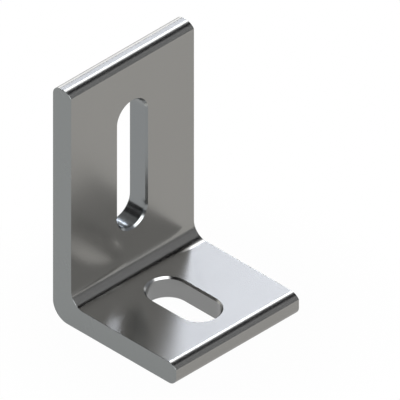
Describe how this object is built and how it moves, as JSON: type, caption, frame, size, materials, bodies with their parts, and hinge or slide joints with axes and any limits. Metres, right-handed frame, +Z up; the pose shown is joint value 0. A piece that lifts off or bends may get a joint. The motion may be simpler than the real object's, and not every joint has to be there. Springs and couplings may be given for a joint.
{
  "type": "solar roof l-foot",
  "caption": "L-shaped aluminium bracket with a slotted foot for the roof and a slotted upright leg that holds a solar panel rail.",
  "frame": {"origin": "middle of the foot's slot, in the plane of the foot's underside", "axes": "+X across the bracket, -Y the way the foot points, +Z up along the leg"},
  "size_m": [0.0508, 0.0508, 0.0826],
  "materials": {
    "bare_aluminium": "satin as extruded, with sawn ends and machined slots"
  },
  "bodies": {
    "root": {"l_foot": "bare_aluminium"}
  },
  "joints": []
}
